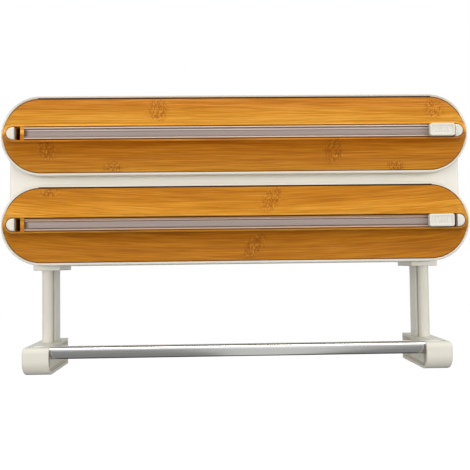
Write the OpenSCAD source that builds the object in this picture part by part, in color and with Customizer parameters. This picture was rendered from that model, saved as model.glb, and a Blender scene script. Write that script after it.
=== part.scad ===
// Wall dispenser for two rolls of kitchen wrap, with a towel rod below it.
// Millimetres. X runs along the width, +Y into the wall, +Z up.
// The wall is the plane Y = 0 and the case is centred on X = 0, Z = 0.

/* [Doors] */
// Length of each door
door_w = 390; // [380:1:396]
// Height of each door
door_h = 66.4; // [65:0.2:67.4]
// Distance between the centres of the two doors
door_pitch = 74.2; // [73.6:0.2:77]
// Thickness of each door, from its back edge to its rim
door_t = 12; // [12:0.2:12.6]
// Width of the white rim around the bamboo
rim_w = 2; // [1.8:0.1:2.2]
// Length of the slit that the wrap comes out of
slit_w = 328; // [310:1:330]
// Height of that slit
slit_h = 1.2; // [1:0.1:1.8]

/* [Bamboo panels] */
// Thickness of the flat part of a panel
panel_t = 5; // [4.6:0.2:5]
// Height of the ridge above the rim
ridge_h = 13; // [11:0.5:13.5]
// Width of the flat crest of the ridge
crest_w = 14; // [13:0.5:15]
// Radius of the hollow flanks beside the ridge
cove_r = 14; // [13.5:0.5:18]
// Width of the groove in the crest
groove_w = 11.2; // [11:0.1:11.6]
// Depth of the groove in the crest
groove_depth = 4.6; // [4.4:0.1:5]

/* [Cutters] */
// Length of each cutter slide
slider_l = 20.4; // [19:0.2:21.4]
// Width of each cutter slide
slider_w = 10.3; // [10:0.1:11]
// Height of each cutter slide above the crest
slider_h = 4.6; // [4:0.2:5]

/* [Case] */
// Width of the case
body_w = 383; // [380:1:385]
// Height of the case
body_h = 142; // [141:0.2:143]
// Depth of the case, from the wall to its front face
body_depth = 58; // [56:1:64]
// Wall thickness of the case
wall_t = 2.2; // [2:0.1:2.5]
// Spacing of the wall screws along X
wall_hole_x = 260; // [200:10:280]
// Diameter of the wall screw holes
wall_hole_d = 4.5; // [4:0.1:5]

/* [Towel holder] */
// Height between the foot of a mount plate and the top of a bracket
post_h = 62.2; // [60:0.1:75]
// Thickness of a post along X
post_w = 10.4; // [9.4:0.1:10.8]
// Depth of a post from front to back
post_depth = 28; // [25:0.5:29]
// Width of a bracket along X
bracket_w = 21.8; // [21:0.1:23]
// Height of a bracket
bracket_h = 23.2; // [22:0.2:24.4]
// Diameter of the towel rod
rod_d = 10.8; // [10:0.1:11]

/* [Hidden] */
$fn = 96;
// Overcut of holes and slots, so that no cut ends on a face
cut = 1;
// Gap between two white shells
shell_gap = 0.4;
// Gap of a piece that is set into a pocket
set_gap = 0.15;
// Radial running clearance of a pin or a spigot
run_gap = 0.05;
// Gap around a piece that slides
slide_gap = 0.2;
// Room around a screw in its hole, and around its head in a recess
hole_room = 0.3;
recess_room = 0.6;

// Depths in front of the wall
door_back = body_depth + shell_gap;
rim_front = door_back + door_t;
seat = rim_front - panel_t;
floor_t = 2;
floor_back = seat - floor_t;
crest = rim_front + ridge_h;
groove_floor = crest - groove_depth;

// Heights measured from the centre of a door
door_r = door_h / 2;
tray_r = door_r - rim_w;
panel_r = tray_r - set_gap;
tray_w = door_w - 2 * rim_w;
panel_w = tray_w - 2 * set_gap;
slit_rise = 0.4;
slit_top = tray_r + slit_rise;
slit_low = slit_top - slit_h;
upper_z = door_pitch / 2;
lower_z = -door_pitch / 2;
rim_edge = 0.45 * rim_w;
panel_edge = 0.6;

// Hinge at the lower edge of a door
hinge_edge = 3.2;
hinge_depth = door_back + hinge_edge;
hinge_z = hinge_edge - door_r;
pin_d = 2;
pin_l = 25;
hinge_x = 120;
lug_r = 2.4;
lug_w = 11.4;
pin_cover = 0.5;
knuckle_w = pin_l + 2 * pin_cover;
knuckle_skin = 1;
// A lug's root goes up to where it stands on the front wall of the case
lug_root = max(hinge_z + lug_r, wall_t - body_h / 2 + door_pitch / 2);
pocket_top = lug_root + shell_gap + slide_gap;
knuckle_top = pocket_top + knuckle_skin;

// Magnets and their catch plates
magnet_x = 172;
magnet_z = 12;
magnet_d = 8;
magnet_t = 3.4;
magnet_boss_d = 12;
plate_d = 9;
plate_t = 1;

// Screws shared by the whole object
screw_d = 3;
head_d = 5.6;
head_t = 2;
hole_d = screw_d + hole_room;
recess_d = head_d + recess_room;
panel_screw_x = [-160, -80, 0, 80, 160];
panel_screw_l = 9.5;

// Cutter track in the groove
cap_l = 7.3;
cap_gap = 0.5;
cap_above = 0.6;
groove_inset = 7.9;
groove_end = door_w / 2 - groove_inset;
groove_r = groove_w / 2;
ridge_x = groove_end - groove_r;
cap_end = groove_end - cap_gap - cap_l;
notch_l = 3.8;
notch_side = 1;
notch_depth = 14;
right_notch_l = 1.8;
bridge_l = 3;
bridge_drop = 1.2;
bridge_left = -cap_end + notch_l;
track_left = bridge_left + bridge_l + set_gap;
track_right = cap_end - right_notch_l;
track_gap = 0.7;
track_w = groove_w - 2 * track_gap;
track_drop = 0.8;
tape_t = 0.4;
tape_inset = 0.5;
tape_end = 3;
track_floor = groove_floor + tape_t;
track_top = crest - track_drop;
track_base = 0.8;
lip_w = 1.2;
// Middle rail of the track, with a stem narrower than its head
lane_w = 0.8;
lane_gap = 0.15;
rail_w = track_w - 2 * (lip_w + lane_w);
rail_t = 1.1;
rail_drop = 0.2;
rail_top = track_top - rail_drop;
stem_in = 0.8;

// Cutter slides, each parked at its own gap from the right cap
upper_park = 0.9;
lower_park = 3;
slider_lift = 0.3;
slider_back = crest + slider_lift;
slider_front = slider_back + slider_h;
// Shoe that holds on to the rail with a hook in each lane
shoe_l = 14;
hook_t = lane_w - 2 * lane_gap;
hook_foot = 0.9;
hook_in = stem_in + lane_gap - slide_gap;
shoe_w = rail_w + 2 * (lane_gap + hook_t);
shoe_low = track_floor + track_base + slide_gap;
shoe_seat = rail_top + slide_gap;
neck_l = 12;
tenon_w = 2.6;
tenon_h = 2;
blade_t = 0.4;
blade_l = 5;
blade_up = 0.9;
blade_sink = 0.1;
blade_low = shoe_seat + blade_sink;

// Case
body_r = 30;
front_wall = 2.5;
body_in_w = body_w - 2 * wall_t;
body_in_h = body_h - 2 * wall_t;
body_in_r = body_r - wall_t;
mouth_w = 320;
mouth_r = 20;
mouth_border = 4.2;
mouth_middle = 10.1;
mouth_lip = 0.6;
// Lowest and highest edge of each mouth, above its lugs and clear of the edge and middle of the case
mouths = [
  [upper_z + lug_root + mouth_lip, body_h / 2 - mouth_border],
  [lower_z + lug_root + mouth_lip, -mouth_middle]
];
cover_t = 2.5;
cover_gap = 0.2;
boss_d = 8;
boss_inset = 10.5;
boss_x = body_w / 2 - boss_inset;
boss_z = [-44, 0, 44];
cover_screw_l = 12;
pad_d = 14;
pad_t = 1.5;

// Towel holder, measured on the right side
plate_inset = 28.4;
plate_x = body_w / 2 - plate_inset;
mount_w = 23.4;
mount_t = 3.7;
mount_back = 1;
mount_depth = 45;
mount_r = 1.5;
mount_top = -body_h / 2;
mount_foot = mount_top - mount_t;
// The plate's outer end goes up to the round corner of the case
mount_ear = 4;
corner_x = body_w / 2 - body_r;
post_inset = 28;
post_x = body_w / 2 - post_inset;
post_r = 1.6;
// Column at the front of a post, narrower on its inner side
column_depth = 9;
column_in = 1.2;
column_r = 4.4;
groove_in = 2.4;
post_back = 15;
post_mid = post_back + post_depth / 2;
post_screw_pitch = 14;
post_bite = 10;
bracket_inset = 26;
bracket_x = body_w / 2 - bracket_inset;
bracket_in = bracket_x - bracket_w / 2;
bracket_top = mount_foot - post_h;
bracket_low = bracket_top - bracket_h;
bracket_back = 1;
bracket_t = 2.4;
bracket_front = 77;
nose_top_r = 5;
nose_low_r = 12;
web_in = 5;
web_front = 50;
rod_depth = 66;
rod_drop = 5.1;
rod_z = bracket_top - rod_drop;
rod_r = rod_d / 2;
tube_t = 1;
rod_gap = 0.3;
slot_w = rod_d + 2 * rod_gap;
slot_l = 17.5;
slot_end = bracket_in + slot_l;
slot_floor = rod_z - rod_r - rod_gap;
rest_l = 3.7;
collar_gap = 0.5;
collar_l = 2.7;
collar_end = slot_end - collar_gap;
collar_start = collar_end - collar_l;
tube_half = collar_start - rod_gap;
spigot_l = 25;
mount_mid = mount_back + mount_depth / 2;
mount_screw_pitch = 12;
mount_screw_depth = 8;
mount_screw_l = 9;
mount_boss_h = 8;

abs_white = [0.93, 0.90, 0.84];
bamboo_tan = [0.80, 0.53, 0.19];
track_mauve = [0.66, 0.58, 0.55];
tape_grey = [0.60, 0.52, 0.50];
steel = [0.75, 0.76, 0.78];

// Placing helpers

// Turns a piece drawn face up, its height being depth in front of the wall, to face -Y
module facing() { rotate([90, 0, 0]) children(); }

// Puts a piece drawn about a door's centre on the door at height z
module on_door(z) { facing() translate([0, z, 0]) children(); }

// Draws the children at x and mirrored at -x
module both_sides(x) { for (s = [-1, 1]) translate([s * x, 0, 0]) children(); }

// Extrudes a profile of (height, depth) along X
module along_x(l) { rotate([90, 0, 90]) linear_extrude(l, center = true) children(); }

// Shape helpers

// Plain block between two corners
module block(x0, x1, y0, y1, z0, z1) {
  translate([x0, y0, z0]) cube([x1 - x0, y1 - y0, z1 - z0]);
}

module rounded_rect(w, h, r) {
  square([w - 2 * r, h], center = true);
  square([w, h - 2 * r], center = true);
  for (sx = [-1, 1], sy = [-1, 1]) translate([sx * (w / 2 - r), sy * (h / 2 - r)]) circle(r);
}

module stadium(w, h) {
  square([w - h, h], center = true);
  for (s = [-1, 1]) translate([s * (w - h) / 2, 0]) circle(h / 2);
}

// Section from the middle to the edge of a plate, its front edge rounded by e
module edge_profile(half, t, e) {
  square([half - e, t]);
  square([half, t - e]);
  translate([half - e, t - e]) circle(e);
}

// Stadium plate with a rounded front edge
module soft_stadium(w, h, t, e) {
  along_x(w - h) for (s = [0, 1]) mirror([s, 0]) edge_profile(h / 2, t, e);
  for (a = [0, 180])
    rotate([0, 0, a]) translate([(w - h) / 2, 0, 0]) rotate([0, 0, -90])
      rotate_extrude(angle = 180) edge_profile(h / 2, t, e);
}

// Pan-head screw pointing up from z = 0, its head below
module screw(l) {
  translate([0, 0, -head_t]) cylinder(d = head_d, h = head_t);
  cylinder(d = screw_d, h = l);
}

// Flat-head screw pointing up, its head flush with z = 0
module flat_screw(l) {
  cylinder(d1 = head_d, d2 = screw_d, h = (head_d - screw_d) / 2);
  cylinder(d = screw_d, h = l);
}

// Case

// Fixed lug that carries a hinge pin, in front of the case at the foot of a door
module hinge_lug() {
  rotate([90, 0, 90]) difference() {
    linear_extrude(lug_w, center = true) {
      translate([hinge_z, hinge_depth]) circle(lug_r);
      translate([hinge_z - lug_r, body_depth - cut]) square([2 * lug_r, hinge_edge + shell_gap + cut]);
      translate([hinge_z - lug_r, body_depth - cut]) square([lug_root - hinge_z + lug_r, hinge_edge + cut]);
    }
    translate([hinge_z, hinge_depth, -lug_w]) cylinder(d = pin_d + 2 * run_gap, h = 2 * lug_w);
  }
}

module body_shell() {
  color(abs_white) facing() difference() {
    union() {
      difference() {
        linear_extrude(body_depth) rounded_rect(body_w, body_h, body_r);
        translate([0, 0, -cut])
          linear_extrude(body_depth - front_wall + cut) rounded_rect(body_in_w, body_in_h, body_in_r);
      }
      block(-body_in_w / 2 - cut, body_in_w / 2 + cut, -wall_t / 2, wall_t / 2, cover_t, body_depth);
      both_sides(boss_x) for (z = boss_z)
        translate([0, z, cover_t]) cylinder(d = boss_d, h = body_depth - cover_t - cut);
      // Bosses for the mount plate screws, no further out than the case's round corners
      intersection() {
        both_sides(plate_x) for (d = [-1, 1])
          translate([d * mount_screw_pitch / 2, mount_top, mount_screw_depth]) rotate([-90, 0, 0])
            cylinder(d = boss_d, h = mount_boss_h);
        linear_extrude(body_depth) rounded_rect(body_w, body_h, body_r);
      }
      for (z = [upper_z, lower_z]) translate([0, z, 0]) both_sides(hinge_x) hinge_lug();
    }
    for (m = mouths)
      translate([0, (m[0] + m[1]) / 2, body_depth - front_wall - cut])
        linear_extrude(front_wall + 2 * cut) rounded_rect(mouth_w, m[1] - m[0], mouth_r);
    for (z = [upper_z, lower_z])
      both_sides(magnet_x) translate([0, z + magnet_z, body_depth - plate_t])
        cylinder(d = plate_d, h = plate_t + cut);
    both_sides(boss_x) for (z = boss_z)
      translate([0, z, 0]) cylinder(d = screw_d, h = cover_screw_l + cut);
    both_sides(plate_x) for (d = [-1, 1])
      translate([d * mount_screw_pitch / 2, mount_top - cut, mount_screw_depth]) rotate([-90, 0, 0])
        cylinder(d = screw_d, h = mount_boss_h + 2 * cut);
  }
}

module back_cover() {
  color(abs_white) facing() difference() {
    union() {
      linear_extrude(cover_t)
        rounded_rect(body_in_w - 2 * cover_gap, body_in_h - 2 * cover_gap, body_in_r - cover_gap);
      both_sides(wall_hole_x / 2) for (z = [upper_z, lower_z])
        translate([0, z, 0]) cylinder(d = pad_d, h = cover_t + pad_t);
    }
    both_sides(wall_hole_x / 2) for (z = [upper_z, lower_z])
      translate([0, z, -cut]) cylinder(d = wall_hole_d, h = cover_t + pad_t + 2 * cut);
    both_sides(boss_x) for (z = boss_z) translate([0, z, 0]) {
      translate([0, 0, -cut]) cylinder(d = screw_d, h = cover_t + 2 * cut);
      cylinder(d1 = head_d, d2 = screw_d, h = (head_d - screw_d) / 2);
    }
  }
}

module back_cover_screws() {
  color(steel) facing() both_sides(boss_x) for (z = boss_z) translate([0, z, 0]) flat_screw(cover_screw_l);
}

module catch_plates(z) {
  color(steel) on_door(z) both_sides(magnet_x)
    translate([0, magnet_z, body_depth - plate_t]) cylinder(d = plate_d, h = plate_t);
}

// Doors

// Room around a lug, open to the back and to the foot of the door
module lug_pocket() {
  room_r = lug_r + shell_gap;
  room_w = lug_w + 2 * shell_gap;
  along_x(room_w) {
    translate([hinge_z, hinge_depth]) circle(room_r);
    translate([-door_r - cut, door_back - cut]) square([pocket_top + door_r + cut, hinge_edge + cut]);
    translate([-door_r - cut, door_back - cut]) square([hinge_edge + cut, hinge_edge + room_r + cut]);
  }
}

// Corner of the door's foot that is cut back to a round about the hinge
module foot_corner() {
  along_x(door_w + 2 * cut) difference() {
    translate([-door_r - cut, door_back - cut]) square([hinge_edge + cut, hinge_edge + cut]);
    translate([hinge_z, hinge_depth]) circle(hinge_edge);
  }
}

module door_frame(z) {
  color(abs_white) on_door(z) difference() {
    union() {
      difference() {
        translate([0, 0, door_back]) soft_stadium(door_w, door_h, door_t, rim_edge);
        translate([0, 0, seat]) linear_extrude(panel_t + cut) stadium(tray_w, 2 * tray_r);
        translate([0, 0, door_back - cut])
          linear_extrude(floor_back - door_back + cut) stadium(tray_w, 2 * tray_r);
      }
      both_sides(hinge_x)
        block(-knuckle_w / 2, knuckle_w / 2, -door_r + rim_w / 2, knuckle_top, door_back, floor_back + cut);
      both_sides(magnet_x)
        translate([0, magnet_z, door_back]) cylinder(d = magnet_boss_d, h = floor_back - door_back + cut);
    }
    block(-slit_w / 2, slit_w / 2, slit_low, slit_top, floor_back - cut, rim_front + cut);
    both_sides(hinge_x) lug_pocket();
    both_sides(hinge_x) translate([-pin_l / 2, hinge_z, hinge_depth]) rotate([0, 90, 0])
      cylinder(d = pin_d, h = pin_l);
    foot_corner();
    both_sides(magnet_x) translate([0, magnet_z, door_back - cut])
      cylinder(d = magnet_d, h = magnet_t + cut);
    for (x = panel_screw_x) translate([x, 0, floor_back - cut]) cylinder(d = hole_d, h = floor_t + 2 * cut);
  }
}

// Ridge of a panel: a flat crest with hollow flanks, from the middle to the foot of a flank
module ridge_profile() {
  reach = sqrt(pow(cove_r, 2) - pow(cove_r - ridge_h, 2));
  difference() {
    translate([0, seat]) square([crest_w / 2 + reach, crest - seat]);
    translate([crest_w / 2 + reach, rim_front + cove_r]) circle(cove_r);
  }
}

module bamboo_panel(z) {
  color(bamboo_tan) on_door(z) difference() {
    union() {
      translate([0, 0, seat]) soft_stadium(panel_w, 2 * panel_r, panel_t, panel_edge);
      intersection() {
        union() {
          along_x(2 * ridge_x) for (s = [0, 1]) mirror([s, 0]) ridge_profile();
          for (a = [0, 180])
            rotate([0, 0, a]) translate([ridge_x, 0, 0]) rotate([0, 0, -90])
              rotate_extrude(angle = 180) ridge_profile();
        }
        translate([0, 0, seat]) linear_extrude(crest - seat + cut)
          stadium(panel_w - 2 * panel_edge, 2 * (panel_r - panel_edge));
      }
    }
    // Slit above the panel
    block(-slit_w / 2, slit_w / 2, slit_low, door_r, seat - cut, rim_front + cut);
    // Groove for the track, with a bridge that is left standing near the left end
    translate([0, 0, groove_floor]) linear_extrude(groove_depth + cut) difference() {
      stadium(2 * groove_end, groove_w);
      translate([bridge_left, -groove_w]) square([bridge_l, 2 * groove_w]);
    }
    block(bridge_left - cut, bridge_left + bridge_l + cut, -groove_r, groove_r,
          crest - bridge_drop, crest + cut);
    // Deep pockets between each cap and the track
    block(-cap_end, bridge_left, notch_side - groove_r, groove_r - notch_side, crest - notch_depth, crest);
    block(track_right, cap_end, notch_side - groove_r, groove_r - notch_side, crest - notch_depth, crest);
    for (x = panel_screw_x)
      translate([x, 0, seat - cut]) cylinder(d = screw_d, h = panel_screw_l - floor_t + cut);
  }
}

module panel_screws(z) {
  color(steel) on_door(z) for (x = panel_screw_x) translate([x, 0, floor_back]) screw(panel_screw_l);
}

module hinge_pins(z) {
  color(steel) on_door(z) both_sides(hinge_x)
    translate([-pin_l / 2, hinge_z, hinge_depth]) rotate([0, 90, 0]) cylinder(d = pin_d, h = pin_l);
}

module door_magnets(z) {
  color(steel) on_door(z) both_sides(magnet_x)
    translate([0, magnet_z, door_back]) cylinder(d = magnet_d, h = magnet_t);
}

// Cutters

module track_tape(z) {
  color(tape_grey) on_door(z)
    block(track_left + tape_end, track_right, tape_inset - track_w / 2, track_w / 2 - tape_inset,
          groove_floor, track_floor);
}

// Track with two lips and a rail between them, which leave a lane on each side of the rail
module cutter_track(z) {
  track_h = track_top - track_floor;
  lane_floor = track_floor + track_base;
  color(track_mauve) on_door(z) translate([(track_left + track_right) / 2, 0, 0])
    along_x(track_right - track_left) difference() {
      translate([-track_w / 2, track_floor]) square([track_w, track_h]);
      for (side = [0, 1]) mirror([side, 0]) {
        translate([rail_w / 2, lane_floor]) square([lane_w, track_h]);
        translate([rail_w / 2 - stem_in, lane_floor])
          square([stem_in + lane_w / 2, rail_top - rail_t - lane_floor]);
      }
      translate([-rail_w / 2 - lane_w / 2, rail_top]) square([rail_w + lane_w, track_h]);
    }
}

// End cap with a round end that points to -X
module track_cap(z, side) {
  cap_r = groove_r - cap_gap;
  cap_h = groove_depth + cap_above;
  cap_edge = 0.8;
  color(abs_white) on_door(z) mirror([side > 0 ? 1 : 0, 0, 0])
    translate([-groove_end + cap_gap, 0, groove_floor]) {
    translate([cap_r, 0, 0]) rotate([0, 0, 90])
      rotate_extrude(angle = 180) edge_profile(cap_r, cap_h, cap_edge);
    translate([(cap_l + cap_r) / 2, 0, 0]) along_x(cap_l - cap_r)
      for (s = [0, 1]) mirror([s, 0]) edge_profile(cap_r, cap_h, cap_edge);
  }
}

// Middle of the slide on the door at height z
function slider_x(z) = cap_end - (z > 0 ? upper_park : lower_park) - slider_l / 2;

// Slide with a sunk thumb field and grip ribs across it
module cutter_slide(z) {
  field_end = 3.5;
  field_side = 1.6;
  field_l = slider_l - 2 * field_end;
  field_w = slider_w - 2 * field_side;
  field_depth = 0.8;
  field_r = 1;
  rib_pitch = 2.2;
  rib_w = 0.9;
  rib_end = 0.7;
  corner_r = 1.8;
  color(abs_white) on_door(z) translate([slider_x(z), 0, 0]) difference() {
    union() {
      difference() {
        translate([0, 0, slider_back]) linear_extrude(slider_h) rounded_rect(slider_l, slider_w, corner_r);
        translate([0, 0, slider_front - field_depth])
          linear_extrude(field_depth + cut) rounded_rect(field_l, field_w, field_r);
      }
      for (i = [-2:2])
        translate([i * rib_pitch, 0, slider_front - field_depth / 2])
          cube([rib_w, field_w - 2 * rib_end, field_depth], center = true);
    }
    translate([-neck_l / 2, -tenon_w / 2, slider_back - cut]) cube([neck_l, tenon_w, tenon_h + cut]);
  }
}

// Shoe that bridges the rail, hooks under its head and has a tenon into the slide
module cutter_shoe(z) {
  color(abs_white) on_door(z) translate([slider_x(z), 0, 0]) difference() {
    union() {
      along_x(shoe_l) {
        translate([-shoe_w / 2, shoe_seat]) square([shoe_w, slider_back - shoe_seat]);
        for (side = [0, 1]) mirror([side, 0]) {
          translate([shoe_w / 2 - hook_t, shoe_low]) square([hook_t, slider_back - shoe_low]);
          translate([shoe_w / 2 - hook_t - hook_in, shoe_low]) square([hook_t + hook_in, hook_foot]);
        }
      }
      block(-neck_l / 2, neck_l / 2, -tenon_w / 2, tenon_w / 2, slider_back - cut, slider_back + tenon_h);
    }
    block(-shoe_l, blade_l - neck_l / 2, blade_up - blade_t / 2, blade_up + blade_t / 2,
          blade_low, slider_back);
  }
}

// Blade with a slanted cutting edge that looks out of the shoe to the left
module cutter_blade(z) {
  nose = 2.8;
  color(steel) on_door(z) translate([slider_x(z) - neck_l / 2, blade_up, 0]) rotate([90, 0, 0])
    linear_extrude(blade_t, center = true)
      polygon([[blade_l, blade_low], [blade_l, slider_back], [-nose, slider_back], [0, blade_low]]);
}

// Towel holder

// Plan of the right post: a round column in front of a wider bar, and a groove between them on the inner side
module post_plan() {
  front = -post_depth / 2;
  bar_depth = post_depth - column_depth;
  translate([0, column_depth / 2]) rounded_rect(post_w, bar_depth, post_r);
  translate([column_in / 2, front + column_depth / 2]) rounded_rect(post_w - column_in, column_depth, column_r);
  translate([groove_in - post_w / 2, front + column_depth / 2])
    square([post_w - groove_in, column_depth / 2 + post_r]);
}

// Draws the children in the two places of the post screws
module post_screw_places() {
  for (d = [-1, 1]) translate([post_x, -post_mid + d * post_screw_pitch / 2, 0]) children();
}

// Draws the children in the two places of the mount plate screws
module mount_screw_places() {
  for (d = [-1, 1]) translate([plate_x + d * mount_screw_pitch / 2, -mount_screw_depth, 0]) children();
}

module mount_plate() {
  color(abs_white) difference() {
    translate([plate_x, -mount_mid, mount_foot])
      linear_extrude(mount_t + mount_ear) rounded_rect(mount_w, mount_depth, mount_r);
    block(0, corner_x, -body_depth, 0, mount_top, mount_top + body_r);
    translate([corner_x, 0, mount_top + body_r]) rotate([90, 0, 0])
      cylinder(r = body_r + set_gap, h = body_depth);
    post_screw_places() {
      translate([0, 0, mount_foot - cut]) cylinder(d = hole_d, h = mount_t + 2 * cut);
      translate([0, 0, mount_top - head_t]) cylinder(d = recess_d, h = head_t + mount_ear + cut);
    }
    mount_screw_places() {
      translate([0, 0, mount_foot - cut]) cylinder(d = hole_d, h = mount_t + mount_ear + 2 * cut);
      translate([0, 0, mount_foot - cut]) cylinder(d = recess_d, h = head_t + cut);
    }
  }
}

module post() {
  color(abs_white) difference() {
    translate([post_x, -post_mid, bracket_top]) linear_extrude(post_h) post_plan();
    post_screw_places() {
      translate([0, 0, bracket_top - cut]) cylinder(d = screw_d, h = post_bite + cut);
      translate([0, 0, mount_foot - post_bite]) cylinder(d = screw_d, h = post_bite + cut);
    }
  }
}

// Side view of a bracket, shrunk by t all round
module bracket_side(t) {
  low_x = bracket_front - nose_low_r;
  top_x = bracket_front - nose_top_r;
  low_z = bracket_low + nose_low_r;
  top_z = bracket_top - nose_top_r;
  translate([bracket_back + t, bracket_low + t]) square([low_x - bracket_back - t, bracket_h - 2 * t]);
  translate([low_x - cut, low_z]) square([top_x - low_x + cut, bracket_top - t - low_z]);
  translate([low_x - cut, low_z]) square([nose_low_r - t + cut, top_z - low_z]);
  translate([top_x, top_z]) circle(nose_top_r - t);
  intersection() {
    translate([low_x, low_z]) circle(nose_low_r - t);
    translate([low_x - cut, bracket_low]) square([nose_low_r + cut, nose_low_r + cut]);
  }
}

// Extrudes a side view of (depth, height) from x0 to x1
module side_slab(x0, x1) {
  translate([x1, 0, 0]) rotate([90, 0, -90]) linear_extrude(x1 - x0) children();
}

module bracket() {
  bracket_out = bracket_in + bracket_w;
  rest_w = slot_w + 2 * bracket_t;
  column_d = 7.4;
  color(abs_white) difference() {
    union() {
      difference() {
        side_slab(bracket_in, bracket_out) bracket_side(0);
        side_slab(bracket_in - cut, bracket_out - bracket_t) bracket_side(bracket_t);
      }
      // Web inside the open face, as far as the post goes
      block(bracket_in + web_in, bracket_in + web_in + bracket_t, -web_front, -bracket_back - bracket_t / 2,
            bracket_low + bracket_t / 2, bracket_top - bracket_t / 2);
      // Rest for the end of the rod
      intersection() {
        block(slot_end - rest_l, bracket_out - bracket_t / 2,
              -rod_depth - rest_w / 2, -rod_depth + rest_w / 2,
              slot_floor - bracket_t, bracket_top);
        side_slab(bracket_in, bracket_out) bracket_side(0);
      }
      // Columns for the screws that go up into the post
      post_screw_places()
        translate([0, 0, bracket_low + bracket_t / 2]) cylinder(d = column_d, h = bracket_h - bracket_t);
    }
    block(bracket_in - cut, slot_end, -rod_depth - slot_w / 2, -rod_depth + slot_w / 2,
          slot_floor, bracket_top + cut);
    post_screw_places() {
      translate([0, 0, bracket_low - cut]) cylinder(d = hole_d, h = bracket_h + 2 * cut);
      translate([0, 0, bracket_low - cut]) cylinder(d = recess_d, h = head_t + cut);
    }
  }
}

module mount_plate_screws() {
  color(steel) for (s = [0, 1]) mirror([s, 0, 0]) mount_screw_places()
    translate([0, 0, mount_foot + head_t]) screw(mount_screw_l - head_t);
}

module post_screws() {
  color(steel) for (s = [0, 1]) mirror([s, 0, 0]) post_screw_places()
    translate([0, 0, mount_top - head_t]) rotate([180, 0, 0]) screw(mount_t - head_t + post_bite);
}

module bracket_screws() {
  color(steel) for (s = [0, 1]) mirror([s, 0, 0]) post_screw_places()
    translate([0, 0, bracket_low + head_t]) screw(bracket_h - head_t + post_bite);
}

// Rod

module towel_rod_tube() {
  color(steel) translate([-tube_half, -rod_depth, rod_z]) rotate([0, 90, 0]) difference() {
    cylinder(d = rod_d, h = 2 * tube_half);
    translate([0, 0, -cut]) cylinder(d = rod_d - 2 * tube_t, h = 2 * tube_half + 2 * cut);
  }
}

// Plug with a spigot in the tube and a flat-bottomed collar that sits in the bracket's slot
module rod_plug() {
  color(abs_white) translate([0, -rod_depth, rod_z]) {
    translate([tube_half - spigot_l, 0, 0]) rotate([0, 90, 0])
      cylinder(d = rod_d - 2 * tube_t - 2 * run_gap, h = spigot_l + collar_start - tube_half + cut);
    translate([collar_start, 0, 0]) rotate([0, 90, 0]) cylinder(d = rod_d, h = collar_l);
    translate([collar_start, -rod_d / 2, slot_floor - rod_z]) cube([collar_l, rod_d, rod_z - slot_floor]);
  }
}

body_shell();
back_cover();
back_cover_screws();
catch_plates(upper_z);  // upper_catch_plates
catch_plates(lower_z);  // lower_catch_plates
door_frame(upper_z);  // upper_door_frame
bamboo_panel(upper_z);  // upper_bamboo_panel
panel_screws(upper_z);  // upper_panel_screws
hinge_pins(upper_z);  // upper_hinge_pins
door_magnets(upper_z);  // upper_door_magnets
track_tape(upper_z);  // upper_track_tape
cutter_track(upper_z);  // upper_cutter_track
track_cap(upper_z, -1);  // upper_track_cap_left
track_cap(upper_z, 1);  // upper_track_cap_right
cutter_slide(upper_z);  // upper_cutter_slide
cutter_shoe(upper_z);  // upper_cutter_shoe
cutter_blade(upper_z);  // upper_cutter_blade
door_frame(lower_z);  // lower_door_frame
bamboo_panel(lower_z);  // lower_bamboo_panel
panel_screws(lower_z);  // lower_panel_screws
hinge_pins(lower_z);  // lower_hinge_pins
door_magnets(lower_z);  // lower_door_magnets
track_tape(lower_z);  // lower_track_tape
cutter_track(lower_z);  // lower_cutter_track
track_cap(lower_z, -1);  // lower_track_cap_left
track_cap(lower_z, 1);  // lower_track_cap_right
cutter_slide(lower_z);  // lower_cutter_slide
cutter_shoe(lower_z);  // lower_cutter_shoe
cutter_blade(lower_z);  // lower_cutter_blade
mirror([1, 0, 0]) mount_plate();  // left_mount_plate
mount_plate();  // right_mount_plate
mount_plate_screws();
mirror([1, 0, 0]) post();  // left_post
post();  // right_post
post_screws();
mirror([1, 0, 0]) bracket();  // left_bracket
bracket();  // right_bracket
bracket_screws();
towel_rod_tube();
mirror([1, 0, 0]) rod_plug();  // rod_plug_left
rod_plug();  // rod_plug_right
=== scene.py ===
# %% [markdown]
# Kitchen wrap dispenser with a towel rod
#
# The object hangs on a kitchen wall. Its white case holds two rolls of wrap behind two long bamboo
# doors, a slide on each door cuts the wrap, and a metal rod below the case carries a towel roll.
# The solid model comes first: every piece in this lesson is placed in its frame, in metres, with
# X along the width, +Y into the wall and +Z up. Later cells give each solid a finish, and put finer
# pieces in the place of those solids that are too plain to be looked at closely.

# %% Load the solid model
import math

import bpy
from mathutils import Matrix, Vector


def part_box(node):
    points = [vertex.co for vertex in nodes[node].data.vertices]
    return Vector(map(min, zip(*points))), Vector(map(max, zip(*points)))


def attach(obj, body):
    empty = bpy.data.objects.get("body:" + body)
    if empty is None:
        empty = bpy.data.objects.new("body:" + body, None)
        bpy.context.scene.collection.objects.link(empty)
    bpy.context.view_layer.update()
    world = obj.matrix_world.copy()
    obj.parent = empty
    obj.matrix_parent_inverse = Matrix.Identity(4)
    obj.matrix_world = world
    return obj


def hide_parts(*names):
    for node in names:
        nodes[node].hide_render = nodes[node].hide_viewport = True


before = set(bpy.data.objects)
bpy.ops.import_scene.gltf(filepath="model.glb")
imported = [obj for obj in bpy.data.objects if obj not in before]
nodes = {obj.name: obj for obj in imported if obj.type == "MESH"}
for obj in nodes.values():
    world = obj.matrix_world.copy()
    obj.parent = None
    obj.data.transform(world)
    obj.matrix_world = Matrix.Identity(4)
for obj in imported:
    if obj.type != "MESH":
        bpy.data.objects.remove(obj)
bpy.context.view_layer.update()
MM = 0.001

# %% [markdown]
# Camera
#
# A photograph is matched by putting the camera where the photographer stood: about 0.65 m in front
# of the wall, a little left of the middle and below it, looking slightly up. The lens could be set
# by eye, but here it follows from how much the rod and the doors shrink with distance.

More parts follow.
